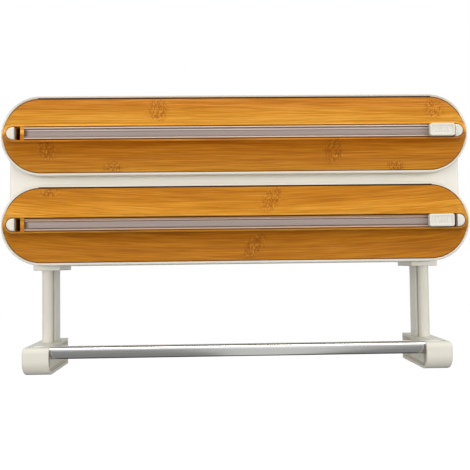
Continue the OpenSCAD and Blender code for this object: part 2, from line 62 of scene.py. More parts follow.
# %% Camera
CAMERA_PLACE = (-0.01783, -0.64577, -0.06870)
CAMERA_TURN = (92.177, 0.716, -1.554)
SENSOR_WIDTH = 36.0
LENS = 53.15

bpy.ops.object.select_all(action="DESELECT")
bpy.ops.object.camera_add(location=CAMERA_PLACE, rotation=[math.radians(turn) for turn in CAMERA_TURN])
camera = bpy.context.object
camera.name = "photo_camera"
camera.data.sensor_width = SENSOR_WIDTH
camera.data.lens = LENS
camera.data.clip_start = 0.01
bpy.context.scene.camera = camera
print("camera at", [round(c, 4) for c in camera.location], "lens", LENS)

# %% [markdown]
# Colours and nodes
#
# A colour is easiest to pick as a screen colour in hex. The shader works in linear light, so one
# function converts it. One more function adds a node, sets it and links it, so that a material
# reads from top to bottom like a recipe. It takes a number, a screen colour, an output or a whole
# node, and of a whole node it links the first output.

# %% Colour and node helpers
def linear(screen_hex):
    """Turns a screen colour such as 'D6A04A' into linear light."""
    channels = [int(screen_hex[i:i + 2], 16) / 255 for i in (0, 2, 4)]
    return [c / 12.92 if c <= 0.04045 else ((c + 0.055) / 1.055) ** 2.4 for c in channels] + [1.0]


def add(tree, kind, inputs=None, **settings):
    """Adds one node with its settings, and fills or links its inputs."""
    node = tree.nodes.new("ShaderNode" + kind)
    for name, value in settings.items():
        setattr(node, name, value)
    for socket, value in (inputs or {}).items():
        if isinstance(value, bpy.types.Node):
            value = value.outputs[0]
        if isinstance(value, bpy.types.NodeSocket):
            tree.links.new(value, node.inputs[socket])
        else:
            node.inputs[socket].default_value = linear(value) if isinstance(value, str) else value
    return node


def new_material(name):
    """Makes an empty material and returns it with its node tree."""
    material = bpy.data.materials.new(name)
    material.use_nodes = True
    material.node_tree.nodes.clear()
    return material, material.node_tree


# Places of the two colours and of the result on a Mix node that is set to colours
FIRST, SECOND, MIXED = 6, 7, 2
print("a bamboo tan in linear light:", [round(c, 3) for c in linear("D6A04A")])

# %% [markdown]
# White moulded ABS
#
# The case, frames, posts and brackets are injection-moulded ABS in a warm white. The mould's
# surface is lightly etched, which gives the eye a soft, wide gloss. The case and the plates under it
# are a purer white than the frames, and the slides and caps are smoother. A flat white would look like
# plaster, so the colour drifts a little over some centimetres, and a very fine grain breaks the gloss.
# The real grain is about 0.1 mm, too fine to show, so it is drawn at 0.6 mm.
# Two places get painted shade: the narrow groove along a post, where little light gets in, and the front
# edge of the upper door's rim towards its top, which would otherwise be lost against the white background.
# The lamps could be dimmed for that, but then every other piece would be too dark, so the plastic itself
# is painted darker there.

# %% Painted shade on the plastic
RIM_FRONT = -70.4
RIM_SHADE_DEPTH = 1.2
RIM_SHADE_START = 22.0
RIM_SHADE_FULL = 2.0
GROOVE_BACK = 8.2
GROOVE_INWARD = 2.1
GROOVE_HALF_DEPTH = 1.4
GROOVE_HALF_WIDTH = 0.8


def painted_groove_shade(tree, axes):
    """Where the painted shade goes: 1 in the groove on the inner side of a post, where little light gets
    in.
    """
    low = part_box("right_post")[0]
    aside = add(tree, "Math", {0: axes["X"]}, operation="ABSOLUTE")
    in_depth = add(tree, "Math", {0: axes["Y"], 1: low.y + GROOVE_BACK * MM, 2: GROOVE_HALF_DEPTH * MM},
                   operation="COMPARE")
    in_width = add(tree, "Math", {0: aside, 1: low.x + GROOVE_INWARD * MM, 2: GROOVE_HALF_WIDTH * MM},
                   operation="COMPARE")
    return add(tree, "Math", {0: in_depth, 1: in_width}, operation="MULTIPLY")


def painted_top_rim_shade(tree, axes):
    """Where the painted shade goes: rises from 0 to 1 over the upper third of the upper door's rim, on its
    front edge alone.
    """
    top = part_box("upper_door_frame")[1].z
    rise = add(tree, "MapRange", {"Value": axes["Z"], "From Min": top - RIM_SHADE_START * MM,
                                  "From Max": top - RIM_SHADE_FULL * MM}, interpolation_type="SMOOTHSTEP")
    at_front = add(tree, "Math", {0: axes["Y"], 1: RIM_FRONT * MM, 2: RIM_SHADE_DEPTH * MM},
                   operation="COMPARE")
    return add(tree, "Math", {0: rise, 1: at_front}, operation="MULTIPLY")


print("the upper rim is shaded over", RIM_SHADE_START - RIM_SHADE_FULL, "mm")

# %% White moulded ABS
DRIFT_SIZE = 40.0
GRAIN_SIZE = 0.6
GRAIN_HEIGHT = 0.1
GRAIN_STRENGTH = 0.06
GLOSS_SPREAD = 0.05
MOULDED_GLOSS = 0.42
POLISHED_GLOSS = 0.30
ABS_IOR = 1.53


def moulded_abs(name, pale, dark, roughness, shade=None, shaded=None):
    """Moulded plastic between two whites, with a painted shade where one is given."""
    material, tree = new_material(name)
    place = add(tree, "TexCoord").outputs["Object"]
    drift = add(tree, "TexNoise", {"Vector": place, "Scale": 1 / (DRIFT_SIZE * MM), "Detail": 2.0})
    grain = add(tree, "TexNoise", {"Vector": place, "Scale": 1 / (GRAIN_SIZE * MM), "Detail": 1.0})
    colour = add(tree, "Mix", {0: drift, FIRST: dark, SECOND: pale}, data_type="RGBA").outputs[MIXED]
    if shade:
        factor = shade(tree, add(tree, "SeparateXYZ", {"Vector": place}).outputs)
        colour = add(tree, "Mix", {0: factor, FIRST: colour, SECOND: shaded},
                     data_type="RGBA").outputs[MIXED]
    gloss = add(tree, "MapRange", {"Value": grain, "To Min": roughness - GLOSS_SPREAD,
                                   "To Max": roughness + GLOSS_SPREAD})
    bump = add(tree, "Bump", {"Height": grain, "Strength": GRAIN_STRENGTH, "Distance": GRAIN_HEIGHT * MM})
    shader = add(tree, "BsdfPrincipled", {"Base Color": colour, "Roughness": gloss, "IOR": ABS_IOR,
                                          "Normal": bump})
    add(tree, "OutputMaterial", {"Surface": shader})
    return material


white_abs = moulded_abs("white_moulded_abs", "DFD9CD", "D8D2C5", MOULDED_GLOSS)
# The posts get painted shade in their groove, and the upper frame gets painted shade towards the top of
# its rim's front edge.
post_abs_painted_shade = moulded_abs("grooved_post_abs", "DFD9CD", "D8D2C5", MOULDED_GLOSS, painted_groove_shade, "B8B0A4")
frame_abs = moulded_abs("pale_frame_abs", "E7E2D7", "E1DBCF", MOULDED_GLOSS)
upper_frame_abs_painted_shade = moulded_abs("pale_upper_frame_abs", "E7E2D7", "E1DBCF", MOULDED_GLOSS,
                              painted_top_rim_shade, "C6BBAC")
case_abs = moulded_abs("bright_case_abs", "F1ECE2", "EBE5DA", MOULDED_GLOSS)
slide_abs = moulded_abs("polished_slide_abs", "E5E0D6", "DED8CD", POLISHED_GLOSS)
print("made", ", ".join(material.name for material in bpy.data.materials if "_abs" in material.name))

# %% [markdown]
# Bamboo fibres
#
# The panels are laminated bamboo, sanded and oiled. Its fibres run along the door as fine streaks.
# A wood texture from a picture would be the quick way. Here noise, stretched along X, gives the
# streaks at any size: fine ones of about 34 by 0.7 mm, and broader strips of about 120 by 3 mm. On the
# lower panel the cane was cut at a slant, so the streaks rise towards both ends: the height is bent by
# the square of X. A slow wobble keeps the streaks from looking ruled.

# %% Bamboo fibres
WOBBLE_LENGTH = 120
WOBBLE = 1.5
STREAK_DEPTH = 0.3


def bent_place(tree, axes, rise):
    """Object place whose height is bent by the square of X and by a slow wobble."""
    along, depth, height = axes
    square = add(tree, "Math", {0: along, 1: along}, operation="MULTIPLY")
    bend = add(tree, "Math", {0: square, 1: -rise, 2: height}, operation="MULTIPLY_ADD")
    bent = add(tree, "CombineXYZ", {"X": along, "Y": depth, "Z": bend})
    wobble = add(tree, "TexNoise", {"Vector": bent, "Scale": 1 / (WOBBLE_LENGTH * MM), "Detail": 1.0})
    drift = add(tree, "MapRange", {"Value": wobble, "To Min": -WOBBLE * MM, "To Max": WOBBLE * MM})
    wavy = add(tree, "Math", {0: bend, 1: drift}, operation="ADD")
    return add(tree, "CombineXYZ", {"X": along, "Y": depth, "Z": wavy})


def streaks(tree, place, length, width, detail):
    """Noise drawn out along X, with streaks of about that length and width in mm."""
    drawn = add(tree, "Mapping", {"Vector": place, "Scale": (width / length, STREAK_DEPTH, 1.0)})
    return add(tree, "TexNoise", {"Vector": drawn, "Scale": 1 / (width * MM), "Detail": detail,
                                  "Roughness": 0.6})


print("streaks wander by", WOBBLE, "mm over", WOBBLE_LENGTH, "mm")

# %% Fibre colours
# Length and width in mm, and how much fine detail the noise has
FINE_STREAK = (34, 0.7, 4.0)
BROAD_STREAK = (120, 3.0, 2.0)
FINE_SHARE = 0.62
FIBRE_STOPS = [(0.365, "B06E12"), (0.5, "C98620"), (0.635, "DE9E3C")]


def set_stops(ramp, stops):
    """Puts colours on a ramp, each with its position, from low to high."""
    elements = ramp.color_ramp.elements
    for element, (position, colour) in zip(elements, (stops[0], stops[-1])):
        element.position = position
        element.color = colour
    for position, colour in stops[1:-1]:
        elements.new(position).color = colour


def fibre_colour(tree, place):
    """Tan colour with fine streaks and broader strips, and the fine streaks themselves."""
    fine = streaks(tree, place, *FINE_STREAK)
    broad = streaks(tree, place, *BROAD_STREAK)
    strips = add(tree, "Math", {0: broad, 1: 1 - FINE_SHARE}, operation="MULTIPLY")
    blend = add(tree, "Math", {0: fine, 1: FINE_SHARE, 2: strips}, operation="MULTIPLY_ADD")
    ramp = add(tree, "ValToRGB", {"Fac": blend})
    set_stops(ramp, [(position, linear(tan)) for position, tan in FIBRE_STOPS])
    return ramp, fine


print("fibre colours:", [tan for position, tan in FIBRE_STOPS])

# %% [markdown]
# Painted light and shade, pockets and edge
#
# The fibres of each panel are multiplied by painted light and shade that follows the height on the door:
# painted highlights on the crest of the ridge and on the slope above it, and painted shade on the slope
# below the ridge. A ramp over the height holds these levels, from the bottom edge of the door to its top.
# The walls of the two pockets in the groove get painted shade, and a thin painted shade runs all round the
# edge, where the panel meets the rim. Both could be painted on a picture of the panel. Here they are
# worked out from the place on the panel, so they stay sharp at any size.

# %% Painted light and shade by height
BOARD_HALF = 31.0
# Each row is a share of the height on the door and a level of painted light and shade that the fibres are
# multiplied by: painted highlight on the crest and the slope above the ridge, painted shade on the slope
# below it. The notes name places on the door, and lower and upper board there mean the halves under the
# track.
UPPER_PAINTED_LIGHT = [
    (0.0, (0.96, 0.93, 0.80)),  # bottom edge
    (0.15, (0.83, 0.70, 0.38)),  # lower slope
    (0.37, (0.93, 0.78, 0.50)),  # foot of the ridge
    (0.40, (0.84, 0.67, 0.40)),  # lower edge of the crest
    (0.48, (0.95, 0.70, 0.30)),  # lower board under the track
    (0.52, (1.45, 1.50, 2.20)),  # upper board under the track
    (0.60, (1.45, 1.50, 2.20)),  # sanded crest
    (0.615, (1.22, 1.28, 1.80)),  # upper edge of the crest
    (0.635, (0.91, 0.93, 0.95)),  # foot of the ridge
    (0.78, (0.95, 0.96, 0.95)),  # upper slope
    (0.93, (0.94, 0.81, 0.92)),  # top edge
]
# The lower door's painted light and shade, with the places named as above.
LOWER_PAINTED_LIGHT = [
    (0.0, (0.88, 0.75, 0.38)),  # bottom edge
    (0.19, (0.78, 0.65, 0.34)),  # lower slope
    (0.37, (0.82, 0.66, 0.32)),  # foot of the ridge
    (0.39, (0.70, 0.68, 0.60)),  # lower edge of the crest
    (0.48, (0.88, 0.68, 0.34)),  # lower board under the track
    (0.52, (1.03, 1.07, 1.34)),  # upper board under the track
    (0.64, (1.03, 1.07, 1.34)),  # sanded crest and foot of the ridge
    (0.78, (0.94, 0.88, 0.66)),  # upper slope
    (0.93, (0.87, 0.75, 0.35)),  # top edge
]


def painted_light_by_height(tree, height, ridge, tones):
    """Painted light and shade by height, listed from the bottom edge (0) over the track's middle (0.5) to
    the top.
    """
    share = add(tree, "MapRange", {"Value": height, "From Min": ridge - BOARD_HALF * MM,
                                   "From Max": ridge + BOARD_HALF * MM})
    ramp = add(tree, "ValToRGB", {"Fac": share})
    set_stops(ramp, [(position, tone + (1.0,)) for position, tone in tones])
    return ramp


print("tones by height:", len(UPPER_PAINTED_LIGHT), "on the upper door,", len(LOWER_PAINTED_LIGHT), "on the lower")

# %% Painted shade in the pockets and along the edge
POCKET_HALF = 5.6
POCKET_FROM = 2.2
POCKET_END = 184.0
EDGE_WIDTH = 0.7
SHORT_BLEND = 0.12


def blend_at(start):
    """The two ends of a short blend about a length in mm, as inputs of a Map Range node."""
    return {"From Min": (start - SHORT_BLEND) * MM, "From Max": (start + SHORT_BLEND) * MM}


def pocket_shade(tree, axes, ridge, crest):
    """1 on the walls of the pockets in the groove, where the painted shade goes."""
    up = add(tree, "Math", {0: axes["Z"], 1: ridge}, operation="SUBTRACT")
    aside = add(tree, "Math", {0: up}, operation="ABSOLUTE")
    along = add(tree, "Math", {0: axes["X"]}, operation="ABSOLUTE")
    below = add(tree, "Math", {0: axes["Y"], 1: crest}, operation="SUBTRACT")
    past_side = add(tree, "MapRange", {"Value": aside, **blend_at(POCKET_HALF)})
    past_end = add(tree, "MapRange", {"Value": along, **blend_at(POCKET_END)})
    deep = add(tree, "MapRange", {"Value": below, **blend_at(POCKET_FROM)})
    outside = add(tree, "Math", {0: past_side, 1: past_end}, operation="MAXIMUM")
    inside = add(tree, "Math", {0: 1.0, 1: outside}, operation="SUBTRACT")
    return add(tree, "Math", {0: inside, 1: deep}, operation="MULTIPLY")


def painted_edge_shade(tree, axes, panel):
    """1 along the outline of a panel with round ends, where the painted shade of the gap to the rim goes.
    """
    low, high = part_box(panel)
    radius = (high.z - low.z) / 2
    straight = (high.x - low.x) / 2 - radius
    aside = add(tree, "Math", {0: axes["X"]}, operation="ABSOLUTE")
    past_straight = add(tree, "Math", {0: aside, 1: straight}, operation="SUBTRACT")
    along = add(tree, "Math", {0: past_straight, 1: 0.0}, operation="MAXIMUM")
    up = add(tree, "Math", {0: axes["Z"], 1: (low.z + high.z) / 2}, operation="SUBTRACT")
    round_part = add(tree, "CombineXYZ", {"X": along, "Z": up})
    reach = add(tree, "VectorMath", {0: round_part}, operation="LENGTH").outputs["Value"]
    return add(tree, "MapRange", {"Value": reach, **blend_at(radius / MM - EDGE_WIDTH)})


print("the dark edge is", EDGE_WIDTH, "mm wide")

# %% [markdown]
# Nodes of the cane
#
# A node is where a leaf joined the living cane. Sawn through, it shows as a patch of broken fibres,
# about as wide as a thumb, with dark and bright specks. The patches are few and lie where the
# photograph has them, so their places are listed in millimetres on the door: along, up, half their
# height, and how far they lean to the right for each millimetre up. On the slant-cut panel they lean.
# The specks are small cells of noise that show only inside the patches.

# %% Nodes of the cane
CANE_NODES = {
    "upper": [(-64.8, 57.5, 10.5, 0.0), (166.3, 57.5, 8.5, 0.0), (-155.9, 24.5, 8.0, 0.0),
              (81.0, 21.8, 9.5, 0.0), (-102.4, 9.5, 5.5, 0.0), (133.0, 9.0, 5.5, 0.0)],
    "lower": [(28.4, -18.0, 10.5, 0.4), (13.7, -56.0, 10.5, 0.4), (-154.4, -10.4, 3.5, 0.3)],
}
NODE_HALF_LENGTH = 7.5
PATCH_INNER = 0.6
PATCH_OUTER = 1.4
SPECK_STRETCH = (1.0, 0.3, 0.5)
# Size in mm, and the two levels of the noise between which a speck shows
DARK_SPECK = (1.1, 0.40, 0.62)
BRIGHT_SPECK = (1.3, 0.54, 0.68)


def node_patch(tree, axes, x, z, half, lean):
    """1 inside one patch, falling to 0 at its edge."""
    aside = add(tree, "Math", {0: axes["X"], 1: x * MM}, operation="SUBTRACT")
    up = add(tree, "Math", {0: axes["Z"], 1: z * MM}, operation="SUBTRACT")
    along = add(tree, "Math", {0: up, 1: -lean, 2: aside}, operation="MULTIPLY_ADD")
    long_share = add(tree, "Math", {0: along, 1: NODE_HALF_LENGTH * MM}, operation="DIVIDE")
    high_share = add(tree, "Math", {0: up, 1: half * MM}, operation="DIVIDE")
    scaled = add(tree, "CombineXYZ", {"X": long_share, "Z": high_share})
    reach = add(tree, "VectorMath", {0: scaled}, operation="LENGTH").outputs["Value"]
    return add(tree, "MapRange", {"Value": reach, "From Min": PATCH_INNER, "From Max": PATCH_OUTER,
                                  "To Min": 1.0, "To Max": 0.0}, interpolation_type="SMOOTHSTEP")


def specks(tree, place, size, low, high):
    """Small upright cells of noise with a size in mm, cut to specks between two levels."""
    cells = add(tree, "Mapping", {"Vector": place, "Scale": SPECK_STRETCH})
    noise = add(tree, "TexNoise", {"Vector": cells, "Scale": 1 / (size * MM), "Detail": 1.5})
    return add(tree, "MapRange", {"Value": noise, "From Min": low, "From Max": high},
               interpolation_type="SMOOTHSTEP")


print("cane nodes:", {door: len(places) for door, places in CANE_NODES.items()})

# %% [markdown]
# Oiled bamboo
#
# The finish is built up in layers: first the fibres, then the painted light and shade by height, and then
# the specks of the nodes, the painted shade on the pocket walls and the painted shade along the edge, one
# over the other. Oil leaves a dull sheen and no film, so the gloss is weak and follows the fibres, and the
# fibres stand up a little as they do after sanding.

# %% Oiled bamboo
BAMBOO_IOR = 1.45
OIL_SHEEN = 0.15
OIL_GLOSS = (0.5, 0.6)
FIBRE_HEIGHT = 0.12
FIBRE_STRENGTH = 0.10
SLANT_RISE = 0.27
# Strength and colour of what lies over the fibres: the real specks of the nodes, then painted shade on the
# pocket walls and along the edge
DARK_STAIN = (0.68, "8A4400")
BRIGHT_STAIN = (0.42, "E6A43C")
POCKET_PAINTED_SHADE = (0.8, "4A1E04")
EDGE_PAINTED_SHADE = (0.7, "5A2E08")


def height_of(node):
    """Height of the middle of a solid."""
    low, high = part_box(node)
    return (low.z + high.z) / 2


def bamboo(name, cane_nodes, rise, panel, track, tones):
    """Oiled bamboo for one panel. The rise says how far its streaks climb towards both ends."""
    material, tree = new_material(name)
    place = add(tree, "TexCoord").outputs["Object"]
    axes = add(tree, "SeparateXYZ", {"Vector": place}).outputs
    ridge = height_of(track)
    fibres, fine = fibre_colour(tree, bent_place(tree, axes, rise))
    # The tone by height is painted light and shade, multiplied into the fibres.
    tone = painted_light_by_height(tree, axes["Z"], ridge, tones)
    colour = add(tree, "VectorMath", {0: fibres, 1: tone}, operation="MULTIPLY")
    patch = 0.0
    for cane_node in cane_nodes:
        patch = add(tree, "Math", {0: node_patch(tree, axes, *cane_node), 1: patch}, operation="MAXIMUM")
    dark = add(tree, "Math", {0: patch, 1: specks(tree, place, *DARK_SPECK)}, operation="MULTIPLY")
    bright = add(tree, "Math", {0: patch, 1: specks(tree, place, *BRIGHT_SPECK)}, operation="MULTIPLY")
    # The pocket walls and the panel's edge get painted shade.
    pocket_shade_mask = pocket_shade(tree, axes, ridge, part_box(panel)[0].y)
    edge = painted_edge_shade(tree, axes, panel)
    for mask, (strength, stain_and_painted_shade) in ((dark, DARK_STAIN), (bright, BRIGHT_STAIN),
                                    (pocket_shade_mask, POCKET_PAINTED_SHADE), (edge, EDGE_PAINTED_SHADE)):
        factor = add(tree, "Math", {0: mask, 1: strength}, operation="MULTIPLY")
        colour = add(tree, "Mix", {0: factor, FIRST: colour, SECOND: stain_and_painted_shade},
                     data_type="RGBA").outputs[MIXED]
    gloss = add(tree, "MapRange", {"Value": fine, "To Min": OIL_GLOSS[0], "To Max": OIL_GLOSS[1]})
    bump = add(tree, "Bump", {"Height": fine, "Strength": FIBRE_STRENGTH, "Distance": FIBRE_HEIGHT * MM})
    shader = add(tree, "BsdfPrincipled", {"Base Color": colour, "Roughness": gloss, "IOR": BAMBOO_IOR,
                                          "Specular IOR Level": OIL_SHEEN, "Normal": bump})
    add(tree, "OutputMaterial", {"Surface": shader})
    return material


upper_bamboo = bamboo("oiled_bamboo_straight_cut", CANE_NODES["upper"], 0.0,
                      "upper_bamboo_panel", "upper_cutter_track", UPPER_PAINTED_LIGHT)
lower_bamboo = bamboo("oiled_bamboo_slant_cut", CANE_NODES["lower"], SLANT_RISE,
                      "lower_bamboo_panel", "lower_cutter_track", LOWER_PAINTED_LIGHT)
print("made", upper_bamboo.name, lower_bamboo.name)

# %% [markdown]
# Frosted track
#
# The cutter track is a frosted plastic profile, a grey mauve because the tape below it shows through.
# Its lanes carry painted light and shade: painted highlights make the lips and lanes paler, and painted
# shade, brown like the wood, darkens the gaps where they meet the wood.
# Clear plastic over a modelled tape would be the full way, but frosting hides all that lies below by a
# millimetre or two. So the profile is opaque, and each lane along it has its own colour, the track's grey
# mauve with painted light and shade laid in. The two tracks are seen from different heights, so their
# painted light and shade differ. At the left end, where the tape stops short, the wood shows through.

# %% Painted lanes along the track
TRACK_HALF = 6.0
# Each lane starts at a height in mm over the track's middle, and its colour is the track's own grey mauve
# with painted light and shade
UPPER_PAINTED_LANES = [(-6.0, "8A5A34"), (-4.45, "DCC5B4"), (-3.7, "DCCBC2"), (-2.85, "9F8E87"),
               (0.85, "7F6D65"), (1.6, "C4B4AC"), (2.45, "A8978E"), (3.9, "E6CFBE")]
LOWER_PAINTED_LANES = [(-6.0, "D8AE84"), (-4.7, "CFA78F"), (-3.9, "A08478"), (-3.1, "9F8E87"),
               (1.9, "5E463C"), (2.7, "FCE2CE"), (3.5, "C09878"), (4.25, "7A4A20")]


def painted_lane_colour(tree, height, lanes):
    """Colour with painted light and shade by the height over the track's middle."""
    share = add(tree, "MapRange", {"Value": height, "From Min": -TRACK_HALF * MM,
                                   "From Max": TRACK_HALF * MM})
    ramp = add(tree, "ValToRGB", {"Fac": share})
    ramp.color_ramp.interpolation = "CONSTANT"
    set_stops(ramp, [((start + TRACK_HALF) / (2 * TRACK_HALF), linear(lane)) for start, lane in lanes])
    return ramp


print("lanes:", len(UPPER_PAINTED_LANES), "on the upper track,", len(LOWER_PAINTED_LANES), "on the lower")

# %% Frosted track
RAIL_HALF = 2.6
TAPE_GAP = 4.5
BARE_WOOD = "5E3A1C"
LINE_WIDTH = 1.2
LINES_DRAWN = (1 / 80, 1.0, 1.0)
CLOUDING = (0.85, 1.15)
FROSTED_GLOSS = (0.30, 0.42)
TRACK_IOR = 1.49


def frosted_track(name, node, lanes):
    """Frosted plastic with lanes of its own for one track."""
    material, tree = new_material(name)
    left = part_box(node)[0].x
    place = add(tree, "TexCoord").outputs["Object"]
    axes = add(tree, "SeparateXYZ", {"Vector": place}).outputs
    height = add(tree, "Math", {0: axes["Z"], 1: height_of(node)}, operation="SUBTRACT")
    drawn = add(tree, "Mapping", {"Vector": place, "Scale": LINES_DRAWN})
    lines = add(tree, "TexNoise", {"Vector": drawn, "Scale": 1 / (LINE_WIDTH * MM), "Detail": 3.0})
    cloud = add(tree, "MapRange", {"Value": lines, "To Min": CLOUDING[0], "To Max": CLOUDING[1]})
    clouded = add(tree, "VectorMath", {0: painted_lane_colour(tree, height, lanes), "Scale": cloud},
                  operation="SCALE")
    start = add(tree, "MapRange", {"Value": axes["X"], "From Min": left + TAPE_GAP * MM,
                                   "From Max": left + MM}, interpolation_type="SMOOTHSTEP")
    aside = add(tree, "Math", {0: height}, operation="ABSOLUTE")
    on_lips = add(tree, "MapRange", {"Value": aside, **blend_at(RAIL_HALF)})
    on_rail = add(tree, "Math", {0: 1.0, 1: on_lips}, operation="SUBTRACT")
    bare = add(tree, "Math", {0: start, 1: on_rail}, operation="MULTIPLY")
    colour = add(tree, "Mix", {0: bare, FIRST: clouded, SECOND: BARE_WOOD},
                 data_type="RGBA").outputs[MIXED]
    gloss = add(tree, "MapRange", {"Value": lines, "To Min": FROSTED_GLOSS[0],
                                   "To Max": FROSTED_GLOSS[1]})
    shader = add(tree, "BsdfPrincipled", {"Base Color": colour, "Roughness": gloss, "IOR": TRACK_IOR})
    add(tree, "OutputMaterial", {"Surface": shader})
    return material


upper_track = frosted_track("frosted_track_plastic_upper", "upper_cutter_track", UPPER_PAINTED_LANES)
lower_track = frosted_track("frosted_track_plastic_lower", "lower_cutter_track", LOWER_PAINTED_LANES)
print("made", upper_track.name, lower_track.name)

# %% [markdown]
# Tape, metals and slit shade
#
# The screws, pins and plates are zinc-plated steel with a fine, even mottling. The rod is a drawn tube
# with a satin polish: its gloss is streaked along the tube, as drawing leaves it. The tape under the track
# is a dull foam, and the dark brown strip in each slit is painted shade, a dull dark felt that stands in
# for the shade in the slit. All four are a noise between two tones that also moves the gloss and the
# surface a little, so one function makes them. What tells them apart is how far the noise is drawn out,
# how fine it is, and how much the surface shines.

# %% Tape, metals and slit shade
EVEN = (1.0, 1.0, 1.0)
DRAWN_ALONG = (1 / 150, 1.0, 1.0)
LINE_HEIGHT = 0.05


def grained_finish(name, pale, dark, metallic, rough_low, rough_high, stretch, width, strength):
    """A noise of a width in mm between two tones, which moves the gloss and the surface."""
    material, tree = new_material(name)
    place = add(tree, "TexCoord").outputs["Object"]
    drawn = add(tree, "Mapping", {"Vector": place, "Scale": stretch})
    lines = add(tree, "TexNoise", {"Vector": drawn, "Scale": 1 / (width * MM), "Detail": 3.0})
    colour = add(tree, "Mix", {0: lines, FIRST: dark, SECOND: pale}, data_type="RGBA").outputs[MIXED]
    gloss = add(tree, "MapRange", {"Value": lines, "To Min": rough_low, "To Max": rough_high})
    bump = add(tree, "Bump", {"Height": lines, "Strength": strength, "Distance": LINE_HEIGHT * MM})
    shader = add(tree, "BsdfPrincipled", {"Base Color": colour, "Metallic": metallic, "Roughness": gloss,
                                          "Normal": bump})
    add(tree, "OutputMaterial", {"Surface": shader})
    return material


foam_tape = grained_finish("grey_foam_tape", "8F7F78", "7A6C66", 0.0, 0.75, 0.9, EVEN, 1.0, 0.3)
zinc_steel = grained_finish("zinc_plated_steel", "C9CBCE", "AEB1B5", 1.0, 0.28, 0.4, EVEN, 0.8, 0.08)
rod_metal = grained_finish("satin_drawn_tube", "EEEEEC", "E6E6E4", 1.0, 0.16, 0.20, DRAWN_ALONG, 0.8, 0.01)
slit_shade_finish = grained_finish("dark_brown_painted_slit_shade", "4C2A0C", "341C06", 0.0, 0.9, 1.0, EVEN, 0.5, 0.5)
print("made", foam_tape.name, zinc_steel.name, rod_metal.name, slit_shade_finish.name)

# %% [markdown]
# Finishes on the solids
#
# Each solid gets the finish of what it is made of. The name says the piece, so a short list of words
# is enough to sort them. The first word that fits counts, and what no word fits is white ABS.

# %% Finishes on the solids
FINISH_BY_WORD = [
    ("upper_bamboo", upper_bamboo), ("lower_bamboo", lower_bamboo), ("tape", foam_tape),
    ("track_cap", slide_abs), ("upper_cutter_track", upper_track), ("lower_cutter_track", lower_track),
    ("cutter_slide", slide_abs), ("shoe", slide_abs), ("screws", zinc_steel), ("pins", zinc_steel),
    ("magnets", zinc_steel), ("catch", zinc_steel), ("blade", zinc_steel), ("rod_tube", rod_metal),
    ("body_shell", case_abs), ("mount_plate", case_abs), ("back_cover", case_abs),
    ("upper_door_frame", upper_frame_abs_painted_shade), ("door_frame", frame_abs),
    ("left_post", post_abs_painted_shade), ("right_post", post_abs_painted_shade),
]


def finish_of(name):
    """The finish of a solid by its name."""
    for word, material in FINISH_BY_WORD:
        if word in name:
            return material
    return white_abs


for name, solid in nodes.items():
    solid.data.materials.clear()
    solid.data.materials.append(finish_of(name))
print("finished", len(nodes), "solids")

# %% [markdown]
# Softened copies
#
# A solid model has knife-sharp edges, and nothing that was moulded or sanded has. Where an edge shows,
# a copy of the solid takes its place, with that edge rounded. The solid's mesh is a loose heap of
# triangles, so the copy's points are merged first.

# %% Merged copies
MERGE_ROOM = 0.002
FLAT_ANGLE = 0.2


def only(piece):
    """Makes a piece the one selected and active object."""
    bpy.ops.object.select_all(action="DESELECT")
    piece.select_set(True)
    bpy.context.view_layer.objects.active = piece


def merged_copy(node, name, whole_faces=False):
    """Copies a solid under a new name and merges its loose triangles, on request to whole flat faces."""
    only(nodes[node])
    bpy.ops.object.duplicate()
    piece = bpy.context.object
    piece.name = name
    piece.data.name = name
    bpy.ops.object.mode_set(mode="EDIT")
    bpy.ops.mesh.select_all(action="SELECT")
    bpy.ops.mesh.remove_doubles(threshold=MERGE_ROOM * MM)
    bpy.ops.mesh.customdata_custom_splitnormals_clear()
    if whole_faces:
        bpy.ops.mesh.dissolve_limited(angle_limit=math.radians(FLAT_ANGLE))
    bpy.ops.mesh.normals_make_consistent(inside=False)
    bpy.ops.object.mode_set(mode="OBJECT")
    return piece


print("points within", MERGE_ROOM, "mm are merged")

# %% [markdown]
# Rounded edges
#
# The sharp edges are found by their angle, and a test on their ends says which of them are rounded.
# Rounding them all would be shorter, but edges that no eye reaches would then cost many faces.

# %% Rounded edges
SHARP_ANGLE = math.radians(35)


def near(value, target, room=0.02):
    """True where two lengths in mm agree."""
    return abs(value - target) < room


def select_only(items, chosen, *others):
    """Selects the chosen edges or faces of a mesh, and nothing of its other parts."""
    for other in others:
        other.foreach_set("select", [False] * len(other))
    items.foreach_set("select", chosen)


def pick_edges(piece, test):
    """Selects the sharp edges of a piece whose two ends both pass a test on their place in mm."""
    only(piece)
    bpy.ops.object.mode_set(mode="EDIT")
    bpy.ops.mesh.select_mode(type="EDGE")
    bpy.ops.mesh.select_all(action="DESELECT")
    bpy.ops.mesh.edges_select_sharp(sharpness=SHARP_ANGLE)
    bpy.ops.object.mode_set(mode="OBJECT")
    mesh = piece.data
    passes = [test(*(vertex.co / MM)) for vertex in mesh.vertices]
    picked = [edge.select and all(passes[i] for i in edge.vertices) for edge in mesh.edges]
    select_only(mesh.edges, picked, mesh.vertices, mesh.polygons)


def soften(piece, test, width, segments=3):
    """Rounds the sharp edges that pass a test by a width in mm."""
    pick_edges(piece, test)
    bpy.ops.object.mode_set(mode="EDIT")
    bpy.ops.mesh.bevel(offset=width * MM, segments=segments, profile=0.5, clamp_overlap=False)
    bpy.ops.object.mode_set(mode="OBJECT")


print("edges are sharp from", round(math.degrees(SHARP_ANGLE)), "degrees")

# %% [markdown]
# Finished pieces
#
# A finished piece gets smooth shading up to the sharp angle and one finish, rides on its body, and hides
# the solid that it stands for.

